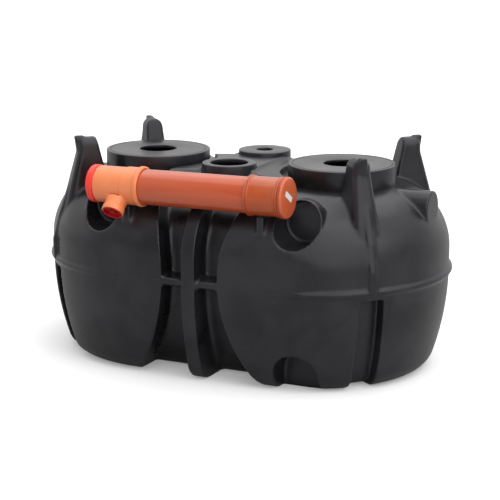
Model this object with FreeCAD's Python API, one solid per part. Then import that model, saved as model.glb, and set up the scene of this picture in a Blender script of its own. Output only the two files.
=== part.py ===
import FreeCAD, Part
import math
import os

# Sewage holding tank, rotationally moulded in black polyethylene: two barrel lobes joined by a waist,
# with the orange inlet pipe lying on its shoulders. Millimetres, +Z up, the front faces -Y, the origin
# is on the ground under the middle of the tank.

V = FreeCAD.Vector
UP = V(0, 0, 1)
ORIGIN = V(0, 0, 0)
QUARTERS = [("front_left", True, False), ("front_right", False, False),
            ("rear_left", True, True), ("rear_right", False, True)]

# Shell
wall = 12.0                     # thickness of the moulded wall
lobe_axis_x = 432.0             # upright axis of each lobe, from the middle
belly_r = 780.0                 # lobe radius at the belt
belt_z = 583.0                  # height of the belt, where the upper and lower shells meet
shoulder_z = 700.0              # top of the upright stretch of wall above the belt
shoulder_r = 380.0              # arc from the upright wall over to the roof
flare_r = 1590.0                # arc of the lower wall, from the belt to the floor
foot_r = 130.0                  # rounding between the lower wall and the floor

# Waist pockets between the lobes
waist_setback = 120.0           # how far the waist wall lies behind the lobe fronts
waist_flare_r = 1000.0          # arc of the waist's lower wall
pocket_half = 170.0             # half width of the pocket pair at its narrowest
pocket_arc_r = 950.0            # arc of the lobes' inner edges, seen from the front
pocket_arc_rise = 30.0          # narrowest height, above the belt

# Centre ribs in the waist
rib_width = 85.0
rib_proud = 18.0                # how far a centre rib stands out past the lobe fronts

# Belt
belt_height = 40.0
belt_proud = 20.0               # at the ends of the tank
belt_front_proud = 3.0          # on the flat lobe fronts, where the belt fades
belt_bar_height = 50.0          # bar across the waist pockets
belt_bar_recess = 12.0          # bar front, behind the lobe fronts

# Corner channels in the lower shell
channel_width = 145.0
channel_depth = 75.0
channel_below_belt = 24.0       # web of plain wall between a channel and the belt
corner_angle = 43.5             # direction of the channels and lugs, from each lobe axis

# Arched recess at the foot of one lobe on each long side
arch_offset = 168.0             # middle of the arch, outside the lobe axis
arch_half = 120.0
arch_height = 222.0
arch_depth = 237.0              # back of the recess, behind the lobe front

# Turrets and their lids
turret_offset = 165.0           # turret axis, outside the lobe axis
turret_r = 311.0
turret_rise = 106.0             # turret and neck tops, above the roof
lid_thickness = 20.0
lid_hole_r = 109.0
lid_edge = 4.0                  # bevel round the lid
lid_scribe_inset = 19.0         # cutting line scribed round the lid, inside its edge
scribe_width = 4.0
scribe_depth = 2.0

# Necks on the middle of the roof
neck_r = 156.0
front_neck_setback = 406.0      # neck axes, behind the waist walls
front_neck_hole_r = 109.0
rear_neck_setback = 424.0
rear_neck_hole_r = 50.0

# Saddle between the necks
saddle_ridge_half = 150.0
saddle_ridge_drop = 22.0        # ridge, below the neck tops
saddle_flank_drop = 20.0        # steep step from the ridge to the slopes
saddle_flank_run = 22.0
saddle_slope_drop = 12.0        # gentle slopes from the flanks out to the turrets
saddle_short = 82.0             # how far short of the lobe axes the slopes end
saddle_rear_run = 15.0          # how far the slopes run on past the rear neck's centre
saddle_front_run = 150.0        # length over which the front of the saddle falls to the roof
moat_gap = 45.0                 # clear ring between each turret and the saddle

# Lifting lugs, set back from the belly along the corner diagonal
lug_setback = 191.0             # middle of the lug top
lug_rise = 218.0                # lug top, above the roof
lug_top_length = 112.0          # along the diagonal
lug_upright = 87.0              # upright stretch of the outer edge under the top
lug_base_width = 160.0
lug_lean = 3.9                  # degrees, lean of the sides
lug_base_rise = 150.0           # base of the lug, above the shoulder line
lug_base_inner = 350.0          # setbacks of the inner and outer edges of the base
lug_base_outer = 38.0
lug_round = 14.0                # rounding of the lug's inner edges
lug_outer_round = 38.0          # rounding of its outer edges
nib_width = 36.0                # nib on the outer end of the lug top, running out down its face
nib_rise = 8.0
nib_proud = 14.0
nib_root = 40.0
nib_run = 95.0

# Rounded rib down the corner, from the lug's outer face to the belt
lug_rib_start = 238.0           # where it rises from the face, below the lug top
lug_rib_width = 50.0
lug_rib_proud = 20.0
lug_rib_round = 14.0            # rounding of the rib's long edges

# Inlet cups on the shoulders, set back from the lobe fronts
cup_offset = 170.0              # cup axis, outside the lobe axis
cup_rise = 245.0                # cup axis, above the shoulder line
cup_r = 137.0
cup_back = 250.0                # flat back of the cup
cup_brow = 205.0                # front of the collar at the top and at the bottom of the cup
cup_sill = 90.0

# Bosses on the ends
boss_rise = 267.0               # boss axis, above the shoulder line
boss_r = 100.0
boss_setback = 64.0             # boss face, behind the end of the belly

# Pipe assembly, laid along the front shoulders
pipe_setback = 70.0             # pipe axis, behind the lobe fronts
pipe_lift = 20.0                # pipe axis at the middle of the tank, above the roof
pipe_rise = 0.7                 # degrees, up to the right
pipe_r = 100.0
pipe_wall = 6.0
socket_wall = 7.0
socket_grip = 90.0              # how far the pipe enters each socket
bead_proud = 7.0
bead_length = 22.0
tee_left_x = -588.0
tee_right_x = -305.0
cap_length = 40.0
cap_wall = 7.0
cap_edge = 6.0                  # bevel round the closed ends
coupler_left_x = 347.0
coupler_right_x = 549.0
plug_length = 28.0
branch_x = -447.0
branch_r = 58.0
branch_socket_r = 67.0
branch_neck = 120.0             # end of the narrow part, from the pipe axis
branch_reach = 184.0            # end of the branch socket, from the pipe axis
branch_fall = 47.0              # degrees below level
branch_plug_depth = 30.0
branch_plug_inset = 6.0

# Upright ribs that carry the pipe
rest_inset = 34.0               # middle of each rib, inside the lobe axis
rest_width = 38.0
rest_front = 28.0               # reach in front of and behind the pipe axis
rest_back = 75.0

# Derived places
roof_z = shoulder_z + shoulder_r
turret_top = roof_z + turret_rise
turret_x = lobe_axis_x + turret_offset
lid_scribe_r = turret_r - lid_scribe_inset
arch_x = lobe_axis_x + arch_offset
cup_x = lobe_axis_x + cup_offset
cup_z = shoulder_z + cup_rise
boss_z = shoulder_z + boss_rise
boss_face_x = lobe_axis_x + belly_r - boss_setback
rest_x = lobe_axis_x - rest_inset
lug_top_z = roof_z + lug_rise
lug_base_z = shoulder_z + lug_base_rise
front_neck_y = waist_setback + front_neck_setback - belly_r
rear_neck_y = belly_r - waist_setback - rear_neck_setback
socket_r = pipe_r + socket_wall
far = 2 * (lobe_axis_x + belly_r)


def polar(centre_r, centre_z, radius, degrees):
    turn = math.radians(degrees)
    return V(centre_r + radius * math.cos(turn), 0, centre_z + radius * math.sin(turn))


def arc(centre_r, centre_z, radius, start, end):
    points = [polar(centre_r, centre_z, radius, a) for a in (start, (start + end) / 2, end)]
    return Part.Arc(*points).toShape()


def line(start, end):
    return Part.LineSegment(start, end).toShape()


def polygon(points):
    return Part.Face(Part.makePolygon(points + points[:1]))


def placed(shape, move=ORIGIN, axis=UP, degrees=0.0):
    shape.Placement = FreeCAD.Placement(move, FreeCAD.Rotation(axis, degrees)).multiply(shape.Placement)
    return shape


def along_x(shape):
    return placed(shape, axis=V(0, 1, 0), degrees=90)


def along_front(shape):
    return placed(shape, axis=V(1, 0, 0), degrees=90)


def on_corner(shape):
    """From the diagonal plane Y = 0, with the lobe axis at zero, to the front right corner."""
    return placed(shape, V(lobe_axis_x, 0, 0), degrees=-corner_angle)


def slab(points, width):
    """Flat piece across the plane Y = 0, half of its width on each side."""
    return placed(polygon(points).extrude(V(0, width, 0)), V(0, -width / 2, 0))


def mirrored(shape, left, rear):
    if left:
        shape = shape.mirror(ORIGIN, V(1, 0, 0))
    if rear:
        shape = shape.mirror(ORIGIN, V(0, 1, 0))
    return shape


def in_quarters(shape):
    return {place: mirrored(shape, left, rear) for place, left, rear in QUARTERS}


# Barrel: every form is made once for the front right quarter, and again smaller for the space inside

def barrel_section(inset=0.0, setback=0.0, lower_r=flare_r):
    """Half section of the barrel, from its axis out to the wall, facing the front."""
    belly = belly_r - setback
    flare_axis = belly - lower_r
    foot_axis = flare_axis + math.sqrt((lower_r - foot_r) ** 2 - (belt_z - foot_r) ** 2)
    lean = math.degrees(math.atan2(belt_z - foot_r, foot_axis - flare_axis))
    shoulder_axis = belly - shoulder_r
    foot = arc(foot_axis, foot_r, foot_r - inset, -90, -lean)
    flare = arc(flare_axis, belt_z, lower_r - inset, -lean, 0)
    shoulder = arc(shoulder_axis, shoulder_z, shoulder_r - inset, 0, 90)
    floor_middle = V(0, 0, inset)
    roof_middle = V(0, 0, roof_z - inset)
    edges = [
        line(floor_middle, V(foot_axis, 0, inset)), foot, flare,
        line(V(belly - inset, 0, belt_z), V(belly - inset, 0, shoulder_z)), shoulder,
        line(V(shoulder_axis, 0, roof_z - inset), roof_middle), line(roof_middle, floor_middle),
    ]
    return placed(Part.Face(Part.Wire(edges)), degrees=-90)


def lobe_quarter(inset=0.0, setback=0.0):
    lobe = barrel_section(inset, setback).revolve(ORIGIN, UP, 90)
    return placed(lobe, V(lobe_axis_x, 0, 0))


def middle_quarter(section):
    return section.extrude(V(lobe_axis_x, 0, 0))


def pocket_prism(inset=0.0):
    """The pocket pair seen from the front: between the curved inner edges of the lobes."""
    radius = pocket_arc_r - inset
    centre_x = pocket_half + pocket_arc_r
    centre_z = belt_z + pocket_arc_rise
    low = math.degrees(math.asin(-(centre_z + wall) / radius))
    high = math.degrees(math.asin((roof_z + wall - centre_z) / radius))
    edge = arc(centre_x, centre_z, radius, 180 - low, 180 - high)
    bottom = edge.Vertexes[0].Point
    top = edge.Vertexes[-1].Point
    middle_low = V(0, 0, bottom.z)
    middle_high = V(0, 0, top.z)
    wire = Part.Wire([line(middle_low, bottom), edge, line(top, middle_high), line(middle_high, middle_low)])
    return Part.Face(wire).extrude(V(0, -far, 0))


def channel_cut(inset=0.0):
    """Upright channel at the corner, its bottom following the barrel."""
    width = channel_width + 2 * inset
    top = belt_z - belt_height / 2 - channel_below_belt + inset
    bar = slab([V(belly_r / 2, 0, -wall), V(far, 0, -wall), V(far, 0, top), V(belly_r / 2, 0, top)], width)
    return on_corner(bar).cut(lobe_quarter(inset, channel_depth))


def arch_cut(inset=0.0):
    radius = arch_half + inset
    spring = arch_height - arch_half
    head = placed(along_front(Part.makeCylinder(radius, far)), V(arch_x, 0, spring))
    legs = Part.makeBox(2 * radius, far, spring + wall, V(arch_x - radius, -far, -wall))
    return placed(head.fuse(legs), V(0, arch_depth + inset - belly_r, 0))


def quarter(inset=0.0):
    """Front right quarter of the tank's outline, or of its space inside."""
    middle = middle_quarter(barrel_section(inset)).cut(pocket_prism(inset))
    waist = middle_quarter(barrel_section(inset, waist_setback, waist_flare_r))
    body = lobe_quarter(inset).fuse([middle, waist]).removeSplitter()
    return body.cut(channel_cut(inset))


# Round blocks that pieces and holes are made from, again for the front right quarter

def upright(x, y, radius):
    """From the shoulders up to the turret tops."""
    return placed(Part.makeCylinder(radius, turret_top - shoulder_z), V(x, y, shoulder_z))


def turret_block(radius):
    return upright(turret_x, 0, radius)


def front_neck_block(radius):
    return upright(0, front_neck_y, radius)


def rear_neck_block(radius):
    return upright(0, rear_neck_y, radius)


def cup_block(radius):
    block = along_front(Part.makeCylinder(radius, far))
    return placed(block, V(cup_x, cup_back + wall - belly_r, cup_z))


def boss_block(radius):
    return placed(along_x(Part.makeCylinder(radius, boss_face_x)), V(0, 0, boss_z))


# Pieces that stand on the shell

def lid_block():
    return placed(Part.makeCylinder(turret_r, lid_thickness), V(turret_x, 0, turret_top - lid_thickness))


def turret():
    return turret_block(turret_r).cut([turret_block(turret_r - wall), lid_block()])


def lid():
    """Disc with a hole, a bevelled edge and the scribed cutting line."""
    groove = lid_scribe_r - scribe_width
    top = lid_thickness
    steps = [(lid_hole_r, 0), (turret_r, 0), (turret_r, top - lid_edge), (turret_r - lid_edge, top),
             (lid_scribe_r, top), (lid_scribe_r, top - scribe_depth), (groove, top - scribe_depth),
             (groove, top), (lid_hole_r, top)]
    disc = polygon([V(r, 0, z) for r, z in steps]).revolve(ORIGIN, UP, 360)
    return placed(disc, V(turret_x, 0, turret_top - lid_thickness))


def neck(block, hole_r):
    """Stub on the roof, closed at its top but for the hole."""
    cover = placed(block(neck_r), V(0, 0, turret_top - shoulder_z - lid_thickness)).common(block(neck_r))
    stub = block(neck_r).cut(block(neck_r - wall))
    return stub.fuse(cover).cut(block(hole_r))


def boss():
    face = placed(boss_block(boss_r), V(boss_face_x - wall, 0, 0))
    return boss_block(boss_r).cut(boss_block(boss_r - wall).cut(face))


def inlet_cup(outline):
    """Closed socket sunk in the shoulder, with a collar where the shoulder falls away behind its rim."""
    top = cup_z + cup_r
    bottom = cup_z - cup_r
    brow = V(0, cup_brow - belly_r, top)
    sill = V(0, cup_sill - belly_r, bottom)
    collar = polygon([brow, sill, V(0, 0, bottom), V(0, 0, top + wall), V(0, brow.y, top + wall)])
    hull = outline.fuse(collar.extrude(V(far, 0, 0)))
    cup = cup_block(cup_r + wall).common(hull)
    return cup.cut(placed(cup_block(cup_r), V(0, -wall, 0)))


def lug_side():
    """Lug seen from its flat side: distance from the lobe axis against height."""
    reach = belly_r - lug_setback
    inner = reach - lug_top_length / 2
    outer = reach + lug_top_length / 2
    return [V(inner, 0, lug_top_z), V(outer, 0, lug_top_z), V(outer, 0, lug_top_z - lug_upright),
            V(belly_r - lug_base_outer, 0, lug_base_z), V(belly_r - lug_base_inner, 0, lug_base_z)]


def lug_front():
    """Lug seen along the diagonal: leaning sides that run smoothly into a round top."""
    lean = math.radians(lug_lean)
    low = lug_base_width / 2
    height = lug_top_z - lug_base_z
    radius = (low * math.cos(lean) - height * math.sin(lean)) / (1 - math.sin(lean))
    top = arc(0, lug_top_z - radius, radius, lug_lean, 180 - lug_lean)
    left = V(-low, 0, lug_base_z)
    right = V(low, 0, lug_base_z)
    sides = [line(right, top.Vertexes[0].Point), top, line(top.Vertexes[-1].Point, left), line(left, right)]
    return placed(Part.Face(Part.Wire(sides)), degrees=90)


def nib():
    """Nib on the lug's top, its outer face running out into the lug's."""
    edge = lug_side()[1]
    high = edge + V(0, 0, nib_rise)
    low = edge - V(0, 0, nib_run)
    root = V(nib_root, 0, 0)
    return slab([high - root, high + V(nib_proud, 0, 0), low, low - root], nib_width)


def lifting_lug():
    lug = slab(lug_side(), lug_base_width).common(lug_front().extrude(V(far, 0, 0)))
    middle = belly_r - lug_setback
    free = [e for e in lug.Edges if e.BoundBox.ZMax > lug_base_z + lug_outer_round]
    outer = [e for e in free if e.BoundBox.XMin > middle]
    lug = lug.makeFillet(lug_outer_round, outer)
    inner = [e for e in lug.Edges if e.BoundBox.ZMax > lug_base_z + lug_round and e.BoundBox.XMax < middle]
    return on_corner(lug.makeFillet(lug_round, inner).fuse(nib()))


def corner_rib():
    """Rounded rib that rises from the lug's face and runs down the corner to the belt."""
    proud = V(lug_rib_proud, 0, 0)
    knee, base = lug_side()[2:4]
    start = knee + (base - knee) * ((lug_rib_start - lug_upright) / (knee.z - base.z))
    foot = V(belly_r, 0, belt_z)
    shoulder = V(belly_r, 0, shoulder_z)
    root = V(belly_r / 2, 0, belt_z)
    face = [base + proud, shoulder + proud, foot + proud]
    rib = slab([start] + face + [root], lug_rib_width)
    along = [e for e in rib.Edges if e.Vertexes[0].Y == e.Vertexes[-1].Y]
    outer = [e for e in along if min(v.X for v in e.Vertexes) >= start.x]
    return on_corner(rib.makeFillet(lug_rib_round, outer))


def belt_quarter():
    """Bead round the belt, fading on the lobe fronts, and its bar across the pocket."""
    shift = belt_proud - belt_front_proud
    crown = belly_r + belt_front_proud
    root = crown - belt_proud - wall
    low = V(root, 0, belt_z - belt_height / 2)
    high = V(root, 0, belt_z + belt_height / 2)
    axis_low = V(0, 0, low.z)
    axis_high = V(0, 0, high.z)
    bead = Part.Arc(low, V(crown, 0, belt_z), high).toShape()
    wire = Part.Wire([bead, line(high, axis_high), line(axis_high, axis_low), line(axis_low, low)])
    section = placed(Part.Face(wire), degrees=-90)
    corner = placed(section.revolve(ORIGIN, UP, 90), V(lobe_axis_x + shift, 0, 0))
    front = section.extrude(V(lobe_axis_x + shift, 0, 0))
    bar = Part.makeBox(lobe_axis_x, belly_r - belt_bar_recess, belt_bar_height,
                       V(0, belt_bar_recess - belly_r, belt_z - belt_bar_height / 2))
    return corner.fuse([front, bar])


def centre_rib():
    """Fin that fills the middle of the waist, out past the lobe fronts."""
    rib = barrel_section(0, -rib_proud).extrude(V(rib_width, 0, 0))
    return placed(rib, V(-rib_width / 2, 0, 0))


def saddle():
    """Ridge between the necks with a steep step and a gentle slope on each side."""
    ridge_z = turret_top - saddle_ridge_drop
    step_z = ridge_z - saddle_flank_drop
    step_x = saddle_ridge_half + saddle_flank_run
    rim_x = lobe_axis_x - saddle_short
    start = front_neck_y - saddle_front_run
    half = [V(saddle_ridge_half, 0, ridge_z), V(step_x, 0, step_z),
            V(rim_x, 0, step_z - saddle_slope_drop), V(rim_x, 0, shoulder_z)]
    other = [V(-p.x, 0, p.z) for p in reversed(half)]
    body = polygon(half + other).extrude(V(0, rear_neck_y + saddle_rear_run - start, 0))
    brow = polygon([V(-rim_x, 0, turret_top), V(-rim_x, saddle_front_run, turret_top), V(-rim_x, 0, roof_z)])
    return placed(body.cut(brow.extrude(V(2 * rim_x, 0, 0))), V(0, start, 0))


# Pipe assembly, made along +X with the middle of the tank at zero

def ring(points):
    """Round piece about the pipe axis, from its half section of places along the pipe and radii."""
    return polygon([V(x, 0, r) for x, r in points]).revolve(ORIGIN, V(1, 0, 0), 360)


def bead(start):
    """Rounded ring that stands out of a socket."""
    root = socket_r - socket_wall / 2
    low = V(start, 0, socket_r)
    high = V(start + bead_length, 0, socket_r)
    crown = Part.Arc(low, V(start + bead_length / 2, 0, socket_r + bead_proud), high).toShape()
    below = [V(start + bead_length, 0, root), V(start, 0, root)]
    wire = Part.Wire([crown, line(high, below[0]), line(below[0], below[1]), line(below[1], low)])
    return Part.Face(wire).revolve(ORIGIN, V(1, 0, 0), 360)


def sleeve(left, right):
    return ring([(left, pipe_r), (left, socket_r), (right, socket_r), (right, pipe_r)])


def run_bore(radius):
    return placed(along_x(Part.makeCylinder(radius, far)), V(-far / 2, 0, 0))


def on_branch(shape):
    shape = placed(shape, axis=V(1, 0, 0), degrees=90 + branch_fall)
    return placed(shape, V(branch_x, 0, 0))


def tee():
    stem = Part.makeCylinder(branch_r, branch_neck)
    socket = placed(Part.makeCylinder(branch_socket_r, branch_reach - branch_neck), V(0, 0, branch_neck))
    branch = on_branch(stem.fuse(socket)).cut(run_bore(pipe_r))
    bore = on_branch(Part.makeCylinder(branch_r - pipe_wall, branch_reach))
    return sleeve(tee_left_x, tee_right_x).fuse([bead(tee_right_x - bead_length), branch]).cut(bore)


def branch_plug():
    start = branch_reach - branch_plug_inset - branch_plug_depth
    plug = Part.makeCylinder(branch_r - pipe_wall, branch_plug_depth)
    return on_branch(placed(plug, V(0, 0, start)))


def end_cap():
    left = tee_left_x - cap_length
    inner = pipe_r - cap_wall
    return ring([(left, 0), (left, socket_r - cap_edge), (left + cap_edge, socket_r), (tee_left_x, socket_r),
                 (tee_left_x, inner), (left + cap_wall, inner), (left + cap_wall, 0)])


def coupler():
    return sleeve(coupler_left_x, coupler_right_x).fuse(bead(coupler_left_x))


def end_plug():
    flange = socket_r + bead_proud
    left = coupler_right_x
    right = left + plug_length
    return ring([(left - cap_wall, 0), (left - cap_wall, pipe_r), (left, pipe_r), (left, flange),
                 (right - cap_edge, flange), (right, flange - cap_edge), (right, 0)])


def main_pipe():
    left = tee_right_x - socket_grip
    right = coupler_left_x + socket_grip
    inner = pipe_r - pipe_wall
    return ring([(left, inner), (left, pipe_r), (right, pipe_r), (right, inner)])


def laid(shape):
    shape = placed(shape, axis=V(0, 1, 0), degrees=-pipe_rise)
    return placed(shape, V(0, pipe_setback - belly_r, roof_z + pipe_lift))


def pipe_rest(x):
    """Upright rib between the shoulder and the underside of the pipe."""
    axis_y = pipe_setback - belly_r
    height = roof_z + pipe_lift - shoulder_z
    rest = Part.makeBox(rest_width, rest_front + rest_back, height,
                        V(x - rest_width / 2, axis_y - rest_front, shoulder_z))
    return rest.cut(laid(run_bore(pipe_r)))


# Assembly: each group of pieces, seated on what carries it

def shells(outline, space):
    plain = outline.cut(space)
    niche = arch_cut(wall).cut(arch_cut()).common(outline)
    arched = plain.cut(arch_cut()).fuse(niche)
    below = Part.makeBox(far, far, belt_z, V(0, -far, 0))
    above = Part.makeBox(far, far, far, V(0, -far, belt_z))
    holes = [turret_block(turret_r - wall), cup_block(cup_r + wall), boss_block(boss_r)]
    neck_holes = [front_neck_block(neck_r - wall), rear_neck_block(neck_r - wall)]
    pieces = {}
    for place, shape in in_quarters(plain.common(above).cut(holes)).items():
        pieces["upper_shell_" + place] = shape.cut(neck_holes)
    for place, left, rear in QUARTERS:
        shell = arched if left == rear else plain
        pieces["lower_shell_" + place] = mirrored(shell.common(below), left, rear)
    return pieces


def corner_pieces(outline):
    lug = lifting_lug()
    belt = belt_quarter()
    kinds = {"belt_": belt.cut([outline, centre_rib()]),
             "lifting_lug_": lug.cut(outline),
             "corner_rib_": corner_rib().cut([outline, belt, lug]),
             "inlet_cup_": inlet_cup(outline)}
    pieces = {}
    for kind, shape in kinds.items():
        for place, piece in in_quarters(shape).items():
            pieces[kind + place] = piece
    return pieces


def roof_pieces(outlines, spaces):
    necks = [front_neck_block(neck_r), rear_neck_block(neck_r)]
    ribs = {"front": centre_rib(), "rear": mirrored(centre_rib(), False, True)}
    pieces = {"front_neck": neck(front_neck_block, front_neck_hole_r).cut(outlines),
              "rear_neck": neck(rear_neck_block, rear_neck_hole_r).cut(outlines)}
    moats = []
    for side, left in (("left", True), ("right", False)):
        pieces[side + "_turret"] = mirrored(turret(), left, False).cut(outlines)
        pieces[side + "_lid"] = mirrored(lid(), left, False)
        pieces[side + "_boss"] = mirrored(boss(), left, False).cut(spaces)
        moats.append(mirrored(turret_block(turret_r + moat_gap), left, False))
    for face, rib in ribs.items():
        pieces["centre_rib_" + face] = rib.cut(outlines + necks)
    pieces["saddle"] = saddle().cut(outlines + necks + list(ribs.values()) + moats)
    return pieces


def pipe_pieces(outlines):
    shapes = {"tee": tee(), "tee_end_cap": end_cap(), "branch_plug": branch_plug(),
              "main_pipe": main_pipe(), "coupler": coupler(), "end_plug": end_plug()}
    pieces = {name: laid(shape) for name, shape in shapes.items()}
    carried = list(pieces.values())
    for side, x in (("left", -rest_x), ("right", rest_x)):
        pieces["pipe_rest_" + side] = pipe_rest(x).cut(outlines + carried)
    return pieces


def main():
    os.makedirs("parts", exist_ok=True)
    outline = quarter()
    space = quarter(wall)
    outlines = list(in_quarters(outline).values())
    spaces = list(in_quarters(space).values())
    pieces = shells(outline, space)
    pieces.update(corner_pieces(outline))
    pieces.update(roof_pieces(outlines, spaces))
    pieces.update(pipe_pieces(outlines))
    for name, shape in pieces.items():
        solids = shape.removeSplitter().Solids
        Part.makeCompound(solids).exportStep("parts/" + name + ".step")


main()
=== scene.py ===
import math

import bmesh
import bpy
import numpy as np
from mathutils import Matrix, Vector


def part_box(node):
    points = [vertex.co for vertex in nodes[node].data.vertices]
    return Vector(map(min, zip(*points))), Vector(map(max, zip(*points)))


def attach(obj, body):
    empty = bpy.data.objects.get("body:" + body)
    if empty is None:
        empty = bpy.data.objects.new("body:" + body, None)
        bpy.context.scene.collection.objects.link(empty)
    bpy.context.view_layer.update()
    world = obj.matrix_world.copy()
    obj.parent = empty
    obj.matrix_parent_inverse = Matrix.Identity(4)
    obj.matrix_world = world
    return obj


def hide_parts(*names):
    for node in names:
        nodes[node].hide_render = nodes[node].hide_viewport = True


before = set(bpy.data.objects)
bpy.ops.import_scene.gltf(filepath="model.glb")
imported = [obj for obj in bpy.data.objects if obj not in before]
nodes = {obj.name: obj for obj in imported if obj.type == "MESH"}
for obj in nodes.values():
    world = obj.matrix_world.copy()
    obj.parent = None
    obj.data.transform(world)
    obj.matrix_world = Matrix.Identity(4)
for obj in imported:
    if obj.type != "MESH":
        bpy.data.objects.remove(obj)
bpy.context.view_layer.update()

# Lengths are in metres and angles in degrees, unless a line says otherwise

# Camera, as the photograph was taken, with pixels of a 500 x 500 frame
FRAME_PX = 500.0
FOCAL_PX = 1668.36
AXIS_PX = (248.10, 266.08)
VIEW_AZIMUTH = 25.16
VIEW_ELEVATION = 13.74
VIEW_TARGET = Vector((0.0, 0.0, 0.515))
VIEW_DISTANCE = 9.962
VIEW_END = 200.0
SENSOR_MM = 36.0

# Tank moulding: smoothing and filling are passes, the triangles are for the whole skin, and the cups' draw
# is a share of their radius
SKIN_KINDS = ("lower_shell", "upper_shell", "belt", "lifting_lug", "corner_rib", "inlet_cup",
              "left_boss", "right_boss", "centre_rib", "saddle", "pipe_rest")
SKIN_VOXEL = 0.0065
SKIN_SMOOTHING = 5
SKIN_FILLING = 6
SKIN_TRIANGLES = 312000
WAIST_FILLING = 40
WAIST_REACH = 0.30
CUP_DRAW = 0.12
PASS_STRENGTH = 0.5
MERGE = 0.00002

# Turrets and necks
ROUND_STEPS = 144
RING_WALL = 0.012
RING_SINK = 0.010
RING_EDGE = 0.005
RING_CORNER = 75.0
SCRIBE_INSET = 0.019
SCRIBE_WIDTH = 0.008
SCRIBE_DEPTH = 0.006

# Pipe, tee and end cap: a bead is its length and how far it stands out, and the hub is a share of the tee
SEAT = 0.0004
FITTING_EDGE = 0.0015
PIPE_WALL = 0.006
BEAD_STEPS = 6
TEE_BEAD = (0.032, 0.008)
TEE_HUB = 0.60
TEE_STEP = 0.0035
TEE_VOXEL = 0.003
TEE_SMOOTHING = 3
TEE_TRIANGLES = 60000
CAP_DISH = 0.006
CAP_LIP = 0.018
CAP_SLOPE_END = 0.024
CAP_EDGE = 0.004
CAP_SEAM = 0.004
CAP_SEAM_DEPTH = 0.008

# Branch and its plug: the plug's hub and its fins' length and middle are shares of its radius, and the
# fins' height is a share of its dish
BRANCH_STEPS = 96
BRANCH_LIP = 0.005
BRANCH_FLANGE = 0.003
BRANCH_RIM = 0.006
BRANCH_DISH = 0.015
HUB_FOOT = 0.32
HUB_TOP = 0.28
FINS = 3
FIN_HEIGHT = 0.60
FIN_LENGTH = 0.64
FIN_MIDDLE = 0.58

# Coupler, end plug and label: a ridge's points are shares of its pitch and of the groove's depth, and the
# rounding's points are shares of its radius
COUPLER_BEADS = ((0.013, 0.0065), (0.011, 0.0045))
COUPLER_GROOVE = 0.003
COUPLER_CORNER = 60.0
PLUG_GAP = 0.002
PLUG_ROUND = 0.012
PLUG_ROUNDING = ((0.5, 0.15), (0.15, 0.5), (0.0, 1.0))
PLUG_RIDGES = 4
PLUG_GROOVE = 0.0025
RIDGE_POINTS = ((0.5, 0.0), (0.6, 1.0), (0.9, 1.0), (1.0, 0.0))
LABEL_LENGTH = 0.092
LABEL_WIDTH = 0.031
LABEL_THICKNESS = 0.0012
LABEL_CORNER = 0.004
LABEL_CRISP = 20.0
LABEL_TILT = -33.0
LABEL_SHIFT = (-0.0066, 0.0087)

# Finishes: levels of the noise where clouds and scuffs begin and are full, scales against the clouds', and
# the distances from the belt's middle between which its scuffing falls from the first value to the second
CLOUD_EDGE = (0.36, 0.66)
SCUFF_EDGE = (0.55, 0.74)
SCUFF_FINENESS = 7.0
SWELL_FINENESS = 2.5
COAT_ROUGHNESS = 0.12
BELT_BAND = (0.02, 0.12)
BELT_SCUFFING = (0.7, 0.2)
FITTING = dict(spread=0.15, cloud=9.0, clouding=0.4, scuffing=0.3, grain=300.0, relief=0.0002)

# Light levels, where 1 is white, with the fade from back to front as cosines towards the dim side, and the
# lamps as strength, azimuth, elevation and softness
BACK_LEVEL = 0.92
FRONT_LEVEL = 0.28
FILL_LEVEL = 0.55
DIM_AZIMUTH = 42.0
DIM_FADE = (-0.6, 0.8)
FLOOR_SIZE = 80.0
FLOOR_SEEN = 0.92
FLOOR_BOUNCE = 0.38
FLOOR_GLOSS = 0.2
FLOOR_LIFT = 0.2
FLOOR_ROUGHNESS = 0.9
LAMPS = {"overhead": (1.05, 205.0, 72.0, 74.0),
         "key": (1.5, 45.0, 38.0, 80.0),
         "side": (0.6, 98.0, 50.0, 70.0)}


# Meshes

def centre(node):
    low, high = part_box(node)
    return (low + high) / 2


def new_piece(name, shape, material, replaced):
    """A bmesh as a finished piece that rides with the tank and stands for CAD nodes."""
    mesh = bpy.data.meshes.new(name)
    shape.to_mesh(mesh)
    shape.free()
    mesh.materials.append(material)
    piece = bpy.data.objects.new(name, mesh)
    bpy.context.scene.collection.objects.link(piece)
    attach(piece, "root")
    if replaced:
        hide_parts(*replaced)


def merged_copy(node_names):
    """Several CAD nodes in one bmesh, with the doubles of their loose triangles merged."""
    shape = bmesh.new()
    for node in node_names:
        shape.from_mesh(nodes[node].data)
    bmesh.ops.remove_doubles(shape, verts=shape.verts, dist=MERGE)
    return shape


def turned(points, steps=ROUND_STEPS):
    """Round piece about the X axis from its half section: places along the axis and radii.
    A section that starts on the axis is open there, and any other is closed to a ring."""
    shape = bmesh.new()
    verts = [shape.verts.new((x, 0.0, r)) for x, r in points]
    pairs = list(zip(verts, verts[1:]))
    if points[0][1] > 0:
        pairs.append((verts[-1], verts[0]))
    edges = [shape.edges.new(pair) for pair in pairs]
    bmesh.ops.spin(shape, geom=verts + edges, cent=(0, 0, 0), axis=(1, 0, 0), angle=2 * math.pi,
                   steps=steps, use_merge=True)
    bmesh.ops.remove_doubles(shape, verts=shape.verts, dist=MERGE)
    bmesh.ops.recalc_face_normals(shape, faces=shape.faces)
    return shape


def edges_rounded(shape, radius, sharper_than=35.0):
    sharp = [e for e in shape.edges
             if len(e.link_faces) == 2 and e.calc_face_angle() > math.radians(sharper_than)]
    bmesh.ops.bevel(shape, geom=sharp, offset=radius, offset_type="OFFSET", affect="EDGES", segments=3,
                    profile=0.5, material=-1)
    return shape


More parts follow.
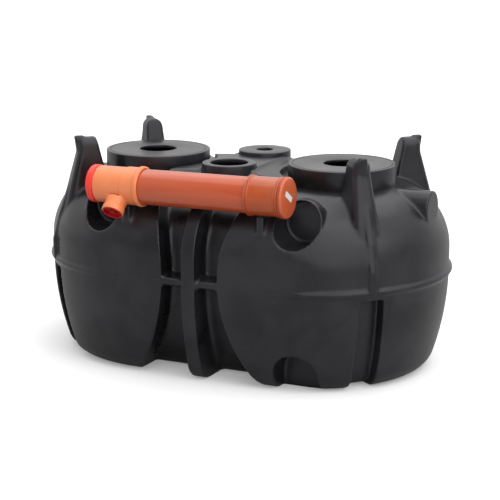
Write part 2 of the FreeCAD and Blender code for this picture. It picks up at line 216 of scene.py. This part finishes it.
def smoothed(shape, flat_over=40.0):
    """Smooth shading, with edges sharper than an angle kept crisp."""
    for face in shape.faces:
        face.smooth = True
    for edge in shape.edges:
        edge.smooth = len(edge.link_faces) == 2 and edge.calc_face_angle() < math.radians(flat_over)
    return shape


def set_in(shape, place):
    bmesh.ops.transform(shape, matrix=place, verts=shape.verts)
    return shape


def joined(*shapes):
    whole = bmesh.new()
    for shape in shapes:
        mesh = bpy.data.meshes.new("part")
        shape.to_mesh(mesh)
        shape.free()
        whole.from_mesh(mesh)
        bpy.data.meshes.remove(mesh)
    return whole


def evaluated(body):
    """The body's mesh with its modifiers applied."""
    depsgraph = bpy.context.evaluated_depsgraph_get()
    return bpy.data.meshes.new_from_object(body.evaluated_get(depsgraph))


def hollows_filled(mesh, passes, within):
    """Rounds hollow corners further than ridges, as a moulding does: a point moves towards the middle of its
    neighbours where they lie outside it. Only points this near to the tank's middle plane move."""
    count = len(mesh.vertices)
    points = np.empty(3 * count)
    mesh.vertices.foreach_get("co", points)
    points = points.reshape(-1, 3)
    outward = np.empty(3 * count)
    mesh.vertex_normals.foreach_get("vector", outward)
    outward = outward.reshape(-1, 3)
    pairs = np.empty(2 * len(mesh.edges), dtype=int)
    mesh.edges.foreach_get("vertices", pairs)
    pairs = pairs.reshape(-1, 2)
    here = np.concatenate((pairs[:, 0], pairs[:, 1]))
    there = np.concatenate((pairs[:, 1], pairs[:, 0]))
    neighbours = np.bincount(here, minlength=count)
    near = np.abs(points[:, 0]) < within
    for _ in range(passes):
        sums = [np.bincount(here, weights=points[there, axis], minlength=count) for axis in range(3)]
        pull = np.stack([total / neighbours for total in sums], axis=1) - points
        hollow = near & ((pull * outward).sum(axis=1) > 0)
        points[hollow] += PASS_STRENGTH * pull[hollow]
    mesh.vertices.foreach_set("co", points.ravel())
    mesh.update()


def softened(shape, voxel, passes, filling, triangles):
    """Soft moulded edges: a fine voxel skin, smoothed, its hollows filled, then thinned where it is plain.
    The filling is given as pairs of passes and reach."""
    mesh = bpy.data.meshes.new("soft")
    shape.to_mesh(mesh)
    shape.free()
    body = bpy.data.objects.new("soft", mesh)
    bpy.context.scene.collection.objects.link(body)
    skin = body.modifiers.new("skin", "REMESH")
    skin.mode = "VOXEL"
    skin.voxel_size = voxel
    smooth = body.modifiers.new("smooth", "SMOOTH")
    smooth.factor = PASS_STRENGTH
    smooth.iterations = passes
    fine = evaluated(body)
    for turns, within in filling:
        hollows_filled(fine, turns, within)
    count = sum(len(p.vertices) - 2 for p in fine.polygons)
    if count > triangles:
        body.modifiers.clear()
        body.data = fine
        thin = body.modifiers.new("thin", "DECIMATE")
        thin.ratio = triangles / count
        fine = evaluated(body)
    soft = bmesh.new()
    soft.from_mesh(fine)
    bpy.data.objects.remove(body)
    for face in soft.faces:
        face.smooth = True
    return soft


def half_of(shape, height, keep_above):
    """The part of a closed shell above or below a level, closed at the cut."""
    half = shape.copy()
    geom = half.verts[:] + half.edges[:] + half.faces[:]
    cut = bmesh.ops.bisect_plane(half, geom=geom, plane_co=(0, 0, height), plane_no=(0, 0, 1),
                                 clear_inner=keep_above, clear_outer=not keep_above)
    rim = [e for e in cut["geom_cut"] if isinstance(e, bmesh.types.BMEdge)]
    bmesh.ops.triangle_fill(half, use_beauty=True, edges=rim, normal=(0, 0, -1 if keep_above else 1))
    for edge in rim:
        edge.smooth = False
    return half


# Tank

def eased(value):
    """One at zero or less, falling smoothly to nothing at one."""
    held = min(max(value, 0.0), 1.0)
    return (1.0 - held) ** 2 * (1.0 + 2.0 * held)


def cups_drawn_in(shape):
    """Narrows the inlet cups about their axes, easing out over the shoulder around them."""
    for node in [name for name in nodes if name.startswith("inlet_cup")]:
        low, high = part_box(node)
        edge = (high.x - low.x) / 2
        spot = centre(node)
        for vert in shape.verts:
            away = Vector((vert.co.x - spot.x, 0.0, vert.co.z - spot.z))
            beside = away.length / edge - 1.0
            beyond = max(low.y - vert.co.y, vert.co.y - high.y) / edge
            if beside < 1.0 and beyond < 1.0:
                vert.co -= CUP_DRAW * eased(beside) * eased(beyond) * away


def make_skin(material):
    """The moulded tank in two pieces, parted at the underside of the belt."""
    skin_nodes = [name for name in nodes if name.startswith(SKIN_KINDS)]
    filling = ((SKIN_FILLING, math.inf), (WAIST_FILLING, WAIST_REACH))
    soft = softened(merged_copy(skin_nodes), SKIN_VOXEL, SKIN_SMOOTHING, filling, SKIN_TRIANGLES)
    cups_drawn_in(soft)
    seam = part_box("belt_front_left")[0].z
    low = [name for name in skin_nodes if name.startswith("lower_shell")]
    high = [name for name in skin_nodes if name not in low]
    new_piece("upper_moulding", half_of(soft, seam, True), material, high)
    new_piece("lower_moulding", half_of(soft, seam, False), material, low)
    soft.free()


def upright_at(node):
    """Turns a piece made along X to stand on the node's upright axis."""
    spot = centre(node)
    return Matrix.Translation((spot.x, spot.y, 0.0)) @ Matrix.Rotation(-math.pi / 2, 4, "Y")


def hole_radius(node):
    spot = centre(node)
    return min(math.hypot(v.co.x - spot.x, v.co.y - spot.y) for v in nodes[node].data.vertices)


def ring_section(low, high, cover, radius, hole):
    """Half section of a round stub: its wall, and its cover with a hole."""
    inner = radius - RING_WALL
    under = high - cover
    return [(low, radius), (high, radius), (high, hole), (under, hole), (under, inner), (low, inner)]


def make_turret(side, material):
    """Turret and lid in one ring, with the lid's edge scribed into its top."""
    lid = side + "_lid"
    low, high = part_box(lid)
    radius = (high.x - low.x) / 2
    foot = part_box(side + "_turret")[0].z - RING_SINK
    section = ring_section(foot, high.z, high.z - low.z, radius, hole_radius(lid))
    scribe = radius - SCRIBE_INSET
    section[2:2] = [(high.z, scribe), (high.z - SCRIBE_DEPTH, scribe - SCRIBE_WIDTH / 2),
                    (high.z, scribe - SCRIBE_WIDTH)]
    shape = edges_rounded(turned(section), RING_EDGE, RING_CORNER)
    set_in(smoothed(shape), upright_at(lid))
    new_piece(side + "_turret_ring", shape, material, [lid, side + "_turret"])


def make_neck(node, material):
    low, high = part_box(node)
    radius = (high.x - low.x) / 2
    section = ring_section(low.z - RING_SINK, high.z, 2 * RING_WALL, radius, hole_radius(node))
    shape = edges_rounded(turned(section), RING_EDGE, RING_CORNER)
    set_in(smoothed(shape), upright_at(node))
    new_piece(node + "_ring", shape, material, [node])


# Pipe

def pipe_place():
    """The laid pipe's axis, from the rings at its two ends: turns and places pieces made along X."""
    left = centre("tee_end_cap")
    along = (centre("end_plug") - left).normalized()
    start = left - along * (left.x / along.x)
    across = Vector((0, 1, 0))
    turn = Matrix((along, across, along.cross(across))).transposed().to_4x4()
    return Matrix.Translation(start) @ turn


def branch_place():
    """The tee's branch, pointing from the pipe axis through its plug."""
    spot = PIPE.inverted() @ centre("branch_plug")
    root = Vector((spot.x, 0, 0))
    out = (spot - root).normalized()
    across = Vector((1, 0, 0))
    turn = Matrix((out, across, out.cross(across))).transposed().to_4x4()
    return PIPE @ Matrix.Translation(root) @ turn


PIPE = pipe_place()
BRANCH = branch_place()


def local_points(node, place):
    back = place.inverted()
    return [back @ v.co for v in nodes[node].data.vertices]


def span(node, place):
    """Where a node starts and ends along an axis."""
    places = [p.x for p in local_points(node, place)]
    return min(places), max(places)


def reach(node, place):
    """A node's greatest radius about an axis."""
    return max(math.hypot(p.y, p.z) for p in local_points(node, place))


def bead(start, length, proud, radius):
    """Half-round swelling in a fitting's section."""
    steps = [math.pi * i / BEAD_STEPS for i in range(BEAD_STEPS + 1)]
    return [(start + length * (1 - math.cos(a)) / 2, radius + proud * math.sin(a)) for a in steps]


def make_pipe(material):
    left, right = span("main_pipe", PIPE)
    radius = reach("main_pipe", PIPE)
    inner = radius - PIPE_WALL
    shape = turned([(left, radius), (right, radius), (right, inner), (left, inner)])
    set_in(smoothed(edges_rounded(shape, FITTING_EDGE)), PIPE)
    new_piece("inlet_pipe", shape, material, ["main_pipe"])


def make_tee(material):
    """Sleeve with a stepped hub and a bead at its mouth, and the branch blended into it."""
    left = span("tee_end_cap", PIPE)[1]
    right = left + (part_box("tee")[1].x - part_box("tee")[0].x)
    inner = reach("main_pipe", PIPE) + SEAT
    outer = reach("tee_end_cap", PIPE)
    hub = left + TEE_HUB * (right - left)
    lip = right - TEE_BEAD[0]
    section = [(left, inner), (left, outer - TEE_STEP), (hub, outer - TEE_STEP), (hub + TEE_STEP, outer),
               (lip, outer)]
    section += bead(lip, *TEE_BEAD, outer)[1:] + [(right, inner)]
    run = turned(section)
    mouth = span("tee", BRANCH)[1]
    bore = reach("branch_plug", BRANCH)
    stem = bore + PIPE_WALL
    socket = stem + BRANCH_LIP
    knee = (inner + mouth) / 2
    branch = turned([(inner, bore), (inner, socket), (knee, stem), (knee + 2 * BRANCH_LIP, socket),
                     (mouth, socket), (mouth, bore)])
    branch = set_in(branch, PIPE.inverted() @ BRANCH)
    shape = softened(joined(run, branch), TEE_VOXEL, TEE_SMOOTHING, (), TEE_TRIANGLES)
    set_in(shape, PIPE)
    new_piece("tee_fitting", shape, material, ["tee"])


def make_branch_plug(material):
    """Push-in plug with a thin flange over the branch's mouth, and a hub and fins in its dish."""
    low = span("branch_plug", BRANCH)[0]
    mouth = span("tee", BRANCH)[1]
    radius = reach("branch_plug", BRANCH)
    face = mouth + BRANCH_FLANGE
    floor = face - BRANCH_DISH
    dish = radius - BRANCH_RIM
    shape = turned([(low, 0.0), (low, radius - SEAT), (mouth, radius - SEAT), (mouth, radius + PIPE_WALL),
                    (face, radius + PIPE_WALL), (face, dish), (floor, dish), (floor, HUB_FOOT * radius),
                    (mouth, HUB_TOP * radius), (mouth, 0.0)], BRANCH_STEPS)
    edges_rounded(shape, FITTING_EDGE)
    height = FIN_HEIGHT * BRANCH_DISH
    for turn in range(FINS):
        about = Matrix.Rotation(2 * math.pi * turn / FINS, 3, "X")
        fin = bmesh.new()
        bmesh.ops.create_cube(fin, size=1.0)
        bmesh.ops.scale(fin, verts=fin.verts, vec=(height, PIPE_WALL, FIN_LENGTH * radius))
        bmesh.ops.translate(fin, verts=fin.verts, vec=(floor + height / 2, 0.0, FIN_MIDDLE * radius))
        bmesh.ops.rotate(fin, verts=fin.verts, matrix=about)
        edges_rounded(fin, FITTING_EDGE)
        shape = joined(shape, fin)
    set_in(smoothed(shape), BRANCH)
    new_piece("branch_closure", shape, material, ["branch_plug"])


def make_end_cap(material):
    """Shallow dished cap, with a seam between it and the tee."""
    left, right = span("tee_end_cap", PIPE)
    outer = reach("tee_end_cap", PIPE)
    dish = left + CAP_DISH
    gap = right - CAP_SEAM
    groove = outer - CAP_SEAM_DEPTH
    shape = turned([(dish, 0.0), (dish, outer - CAP_SLOPE_END), (left, outer - CAP_LIP), (left, outer),
                    (gap, outer), (gap, groove), (right, groove), (right, 0.0)])
    edges_rounded(shape, CAP_EDGE)
    set_in(smoothed(shape), PIPE)
    new_piece("tee_cap", shape, material, ["tee_end_cap"])


def make_coupler(material):
    """Sleeve with a double bead at each end."""
    left, right = span("coupler", PIPE)
    inner = reach("main_pipe", PIPE) + SEAT
    outer = reach("tee_end_cap", PIPE)
    section = [(left, inner)]
    place = left
    for length, proud in COUPLER_BEADS:
        section += bead(place, length, proud, outer)
        place += length + COUPLER_GROOVE
    place = right - sum(length + COUPLER_GROOVE for length, proud in COUPLER_BEADS)
    for length, proud in reversed(COUPLER_BEADS):
        place += COUPLER_GROOVE
        section += bead(place, length, proud, outer)
        place += length
    section += [(right, inner)]
    shape = smoothed(edges_rounded(turned(section), FITTING_EDGE, COUPLER_CORNER))
    set_in(shape, PIPE)
    new_piece("coupler_sleeve", shape, material, ["coupler"])


def make_end_plug(material):
    """Plug with grooves round its flange and a rounded face."""
    left, right = span("end_plug", PIPE)
    start = span("coupler", PIPE)[1] + PLUG_GAP
    flange = reach("end_plug", PIPE)
    inner = reach("main_pipe", PIPE)
    first = start + PLUG_GAP
    pitch = (right - PLUG_ROUND - first) / PLUG_RIDGES
    section = [(left, 0.0), (left, inner), (start, inner), (first, flange)]
    for ridge in range(PLUG_RIDGES):
        place = first + pitch * ridge
        section += [(place + along * pitch, flange - down * PLUG_GROOVE) for along, down in RIDGE_POINTS]
    section += [(right - back * PLUG_ROUND, flange - down * PLUG_ROUND) for back, down in PLUG_ROUNDING]
    section += [(right, 0.0)]
    shape = set_in(smoothed(turned(section)), PIPE)
    new_piece("end_closure", shape, material, ["end_plug"])


def make_label(material):
    """Small blank label stuck to the face of the end plug."""
    face = span("end_plug", PIPE)[1]
    shape = bmesh.new()
    bmesh.ops.create_cube(shape, size=1.0)
    bmesh.ops.scale(shape, verts=shape.verts, vec=(LABEL_THICKNESS, LABEL_LENGTH, LABEL_WIDTH))
    corners = [e for e in shape.edges if abs((e.verts[0].co - e.verts[1].co).x) > LABEL_THICKNESS / 2]
    bmesh.ops.bevel(shape, geom=corners, offset=LABEL_CORNER, offset_type="OFFSET", affect="EDGES",
                    segments=3, profile=0.5, material=-1)
    bmesh.ops.rotate(shape, verts=shape.verts, matrix=Matrix.Rotation(math.radians(LABEL_TILT), 3, "X"))
    bmesh.ops.translate(shape, verts=shape.verts, vec=(face + LABEL_THICKNESS / 2, *LABEL_SHIFT))
    set_in(smoothed(shape, LABEL_CRISP), PIPE)
    new_piece("blank_label", shape, material, [])


# Materials

def add(tree, kind, inputs=None, **settings):
    """A shader node with its settings, and its inputs linked from sockets or set to values."""
    made = tree.nodes.new("ShaderNode" + kind)
    for name, value in settings.items():
        setattr(made, name, value)
    for key, value in (inputs or {}).items():
        if isinstance(value, bpy.types.NodeSocket):
            tree.links.new(value, made.inputs[key])
        else:
            made.inputs[key].default_value = value
    return made


def blend(tree, share, low, high):
    """Colour between two colours."""
    return add(tree, "Mix", {0: share, 6: low, 7: high}, data_type="RGBA").outputs[2]


def between(tree, value, low, high, to_low=0.0, to_high=1.0):
    """Value carried smoothly from one range to another and held at its ends."""
    return add(tree, "MapRange", {"Value": value, "From Min": low, "From Max": high, "To Min": to_low,
                                  "To Max": to_high}, interpolation_type="SMOOTHSTEP").outputs["Result"]


def maths(tree, operation, *values):
    return add(tree, "Math", dict(enumerate(values)), operation=operation).outputs[0]


def noise(tree, place, scale, **settings):
    return add(tree, "TexNoise", {"Vector": place, "Scale": scale, **settings}).outputs[0]


def moulded_surface():
    """Shared look of the plastics: clouded and scuffed colour, uneven gloss and a fine grain."""
    tree = bpy.data.node_groups.new("moulded_surface", "ShaderNodeTree")
    wanted = {"Colour": "Color", "Worn Colour": "Color", "Stretch": "Vector", "Cloud Scale": "Float",
              "Clouding": "Float", "Scuffing": "Float", "Roughness": "Float", "Gloss Spread": "Float",
              "Grain Scale": "Float", "Swell": "Float"}
    for name, kind in wanted.items():
        tree.interface.new_socket(name, in_out="INPUT", socket_type="NodeSocket" + kind)
    for name, kind in {"Colour": "Color", "Roughness": "Float", "Height": "Float"}.items():
        tree.interface.new_socket(name, in_out="OUTPUT", socket_type="NodeSocket" + kind)
    given = tree.nodes.new("NodeGroupInput").outputs
    result = tree.nodes.new("NodeGroupOutput").inputs
    spot = add(tree, "TexCoord").outputs["Object"]
    drawn = add(tree, "Mapping", {"Vector": spot, "Scale": given["Stretch"]}).outputs["Vector"]
    cloud = noise(tree, drawn, given["Cloud Scale"], Detail=4.0, Distortion=0.4)
    scuff_scale = maths(tree, "MULTIPLY", given["Cloud Scale"], SCUFF_FINENESS)
    scuff = noise(tree, drawn, scuff_scale, Detail=6.0, Roughness=0.7, Distortion=1.6)
    clouded = maths(tree, "MULTIPLY", between(tree, cloud, *CLOUD_EDGE), given["Clouding"])
    worn = maths(tree, "MULTIPLY_ADD", between(tree, scuff, *SCUFF_EDGE), given["Scuffing"], clouded)
    tree.links.new(blend(tree, worn, given["Colour"], given["Worn Colour"]), result["Colour"])
    uneven = maths(tree, "MULTIPLY", maths(tree, "SUBTRACT", cloud, 0.5), given["Gloss Spread"])
    tree.links.new(maths(tree, "ADD", given["Roughness"], uneven), result["Roughness"])
    grain = noise(tree, spot, given["Grain Scale"], Detail=2.0)
    swell_scale = maths(tree, "MULTIPLY", given["Cloud Scale"], SWELL_FINENESS)
    swell = noise(tree, drawn, swell_scale, Detail=1.0)
    tree.links.new(maths(tree, "MULTIPLY_ADD", swell, given["Swell"], grain), result["Height"])
    return tree


SURFACE = moulded_surface()


def principled(name):
    material = bpy.data.materials.new(name)
    material.use_nodes = True
    return material, material.node_tree, material.node_tree.nodes["Principled BSDF"]


def plastic(name, colour, worn, roughness, spread, cloud, clouding, grain, relief, scuffing=0.0, swell=0.5,
            stretch=(1.0, 1.0, 1.0), coat=0.0, specular=0.5, sheen_tint=(1.0, 1.0, 1.0)):
    """A moulded plastic, with its own values in the shared surface."""
    material, tree, shader = principled(name)
    shader.inputs["Specular IOR Level"].default_value = specular
    shader.inputs["Specular Tint"].default_value = (*sheen_tint, 1.0)
    shader.inputs["Coat Weight"].default_value = coat
    shader.inputs["Coat Roughness"].default_value = COAT_ROUGHNESS
    surface = add(tree, "Group", {"Colour": (*colour, 1.0), "Worn Colour": (*worn, 1.0), "Stretch": stretch,
                                  "Cloud Scale": cloud, "Clouding": clouding, "Scuffing": scuffing,
                                  "Roughness": roughness, "Gloss Spread": spread, "Grain Scale": grain,
                                  "Swell": swell},
                  node_tree=SURFACE)
    surface.name = "surface"
    bump = add(tree, "Bump", {"Height": surface.outputs["Height"], "Distance": relief, "Strength": 0.5})
    tree.links.new(surface.outputs["Colour"], shader.inputs["Base Color"])
    tree.links.new(surface.outputs["Roughness"], shader.inputs["Roughness"])
    tree.links.new(bump.outputs["Normal"], shader.inputs["Normal"])
    return material


def black_polyethylene():
    """The tank's plastic, more scuffed along the belt where it is handled."""
    material = plastic("black_polyethylene", (0.0066, 0.0064, 0.0074), (0.020, 0.0197, 0.0226),
                       roughness=0.30, spread=0.30, cloud=3.0, clouding=0.9, grain=420.0, relief=0.0004,
                       swell=3.0, specular=0.48, sheen_tint=(0.98, 0.95, 1.0))
    tree = material.node_tree
    belt = centre("belt_front_left").z
    height = add(tree, "SeparateXYZ", {0: add(tree, "TexCoord").outputs["Object"]}).outputs["Z"]
    away = maths(tree, "ABSOLUTE", maths(tree, "SUBTRACT", height, belt))
    handled = between(tree, away, *BELT_BAND, *BELT_SCUFFING)
    tree.links.new(handled, tree.nodes["surface"].inputs["Scuffing"])
    return material


def pipe_orange():
    """Glossy pipe, with its clouds drawn out along its length."""
    return plastic("pipe_orange", (0.53, 0.078, 0.020), (0.59, 0.112, 0.040), roughness=0.24, spread=0.2,
                   cloud=1.5, clouding=0.5, scuffing=0.35, grain=300.0, relief=0.0002,
                   stretch=(1.0, 12.0, 12.0), coat=0.45)


def tee_orange():
    return plastic("tee_orange", (0.87, 0.240, 0.085), (0.92, 0.30, 0.125), roughness=0.36, coat=0.2,
                   **FITTING)


def plug_red():
    return plastic("plug_red", (0.40, 0.003, 0.006), (0.46, 0.010, 0.012), roughness=0.4, specular=0.2,
                   **FITTING)


def cap_red():
    return plastic("cap_red", (0.92, 0.038, 0.024), (0.92, 0.085, 0.060), roughness=0.32, **FITTING)


def coupler_orange():
    return plastic("coupler_orange", (0.46, 0.064, 0.004), (0.54, 0.10, 0.016), roughness=0.24, coat=0.45,
                   **FITTING)


def end_orange():
    return plastic("end_orange", (0.60, 0.110, 0.036), (0.64, 0.15, 0.06), roughness=0.30, coat=0.3,
                   **FITTING)


def blank_white():
    return plastic("blank_white", (0.85, 0.83, 0.78), (0.74, 0.71, 0.65), roughness=0.45, spread=0.1,
                   cloud=30.0, clouding=0.4, scuffing=0.15, grain=900.0, relief=0.0001)


# Stage

def direction(azimuth, elevation):
    """Unit vector from the tank, with azimuth 0 at its front and 90 at its right."""
    turn = math.radians(azimuth)
    tilt = math.radians(elevation)
    return Vector((math.sin(turn) * math.cos(tilt), -math.cos(turn) * math.cos(tilt), math.sin(tilt)))


def stand_camera():
    back = direction(VIEW_AZIMUTH, VIEW_ELEVATION)
    right = direction(VIEW_AZIMUTH + 90.0, 0.0)
    place = Matrix((right, back.cross(right), back)).transposed().to_4x4()
    place.translation = VIEW_TARGET + back * VIEW_DISTANCE
    lens = bpy.data.cameras.new("camera")
    lens.sensor_width = SENSOR_MM
    lens.lens = FOCAL_PX / FRAME_PX * SENSOR_MM
    lens.shift_x = 0.5 - AXIS_PX[0] / FRAME_PX
    lens.shift_y = AXIS_PX[1] / FRAME_PX - 0.5
    lens.clip_end = VIEW_END
    camera = bpy.data.objects.new("camera", lens)
    camera.matrix_world = place
    bpy.context.scene.collection.objects.link(camera)
    bpy.context.scene.camera = camera


def light_world():
    """White where the camera sees it, an even fill, and mirrored brighter from behind than from in front."""
    world = bpy.data.worlds.new("studio")
    bpy.context.scene.world = world
    world.use_nodes = True
    tree = world.node_tree
    towards = add(tree, "TexCoord").outputs["Generated"]
    facing = add(tree, "VectorMath", {0: towards, 1: direction(DIM_AZIMUTH, 0.0)},
                 operation="DOT_PRODUCT").outputs["Value"]
    mirrored = between(tree, facing, *DIM_FADE, BACK_LEVEL, FRONT_LEVEL)
    path = add(tree, "LightPath").outputs
    sharp = maths(tree, "MAXIMUM", path["Is Glossy Ray"], path["Is Transmission Ray"])
    level = maths(tree, "MAXIMUM", maths(tree, "MULTIPLY", sharp, mirrored), path["Is Camera Ray"])
    level = maths(tree, "MAXIMUM", level, maths(tree, "MULTIPLY", path["Is Diffuse Ray"], FILL_LEVEL))
    background = tree.nodes["Background"]
    background.inputs["Color"].default_value = (1.0, 1.0, 1.0, 1.0)
    tree.links.new(level, background.inputs["Strength"])


def hang_lamp(name, strength, azimuth, elevation, softness):
    lamp = bpy.data.lights.new(name, "SUN")
    lamp.energy = strength
    lamp.angle = math.radians(softness)
    lit = bpy.data.objects.new(name, lamp)
    lit.rotation_euler = direction(azimuth, elevation).to_track_quat("Z", "Y").to_euler()
    bpy.context.scene.collection.objects.link(lit)


def lay_floor():
    """Pale floor that keeps the shadow, a little lifted for the camera and dimmer in reflections."""
    shape = bmesh.new()
    bmesh.ops.create_grid(shape, x_segments=1, y_segments=1, size=FLOOR_SIZE)
    mesh = bpy.data.meshes.new("floor")
    shape.to_mesh(mesh)
    shape.free()
    material, tree, shader = principled("pale_floor")
    path = add(tree, "LightPath").outputs
    seen = maths(tree, "MAXIMUM", path["Is Camera Ray"], path["Is Transmission Ray"])
    seen = maths(tree, "MAXIMUM", seen, maths(tree, "MULTIPLY", path["Is Glossy Ray"], FLOOR_GLOSS))
    pale = blend(tree, seen, (FLOOR_BOUNCE,) * 3 + (1.0,), (FLOOR_SEEN,) * 3 + (1.0,))
    tree.links.new(pale, shader.inputs["Base Color"])
    tree.links.new(path["Is Camera Ray"], shader.inputs["Emission Color"])
    shader.inputs["Emission Strength"].default_value = FLOOR_LIFT
    shader.inputs["Roughness"].default_value = FLOOR_ROUGHNESS
    shader.inputs["Specular IOR Level"].default_value = 0.0
    mesh.materials.append(material)
    floor = bpy.data.objects.new("floor", mesh)
    bpy.context.scene.collection.objects.link(floor)


# The tank, its pipe, and the stage around them

black = black_polyethylene()
make_skin(black)
for side in ("left", "right"):
    make_turret(side, black)
for node in ("front_neck", "rear_neck"):
    make_neck(node, black)
make_pipe(pipe_orange())
make_tee(tee_orange())
make_branch_plug(plug_red())
make_end_cap(cap_red())
make_coupler(coupler_orange())
make_end_plug(end_orange())
make_label(blank_white())

lay_floor()
light_world()
for name, setting in LAMPS.items():
    hang_lamp(name, *setting)
stand_camera()
bpy.context.scene.view_settings.view_transform = "Standard"
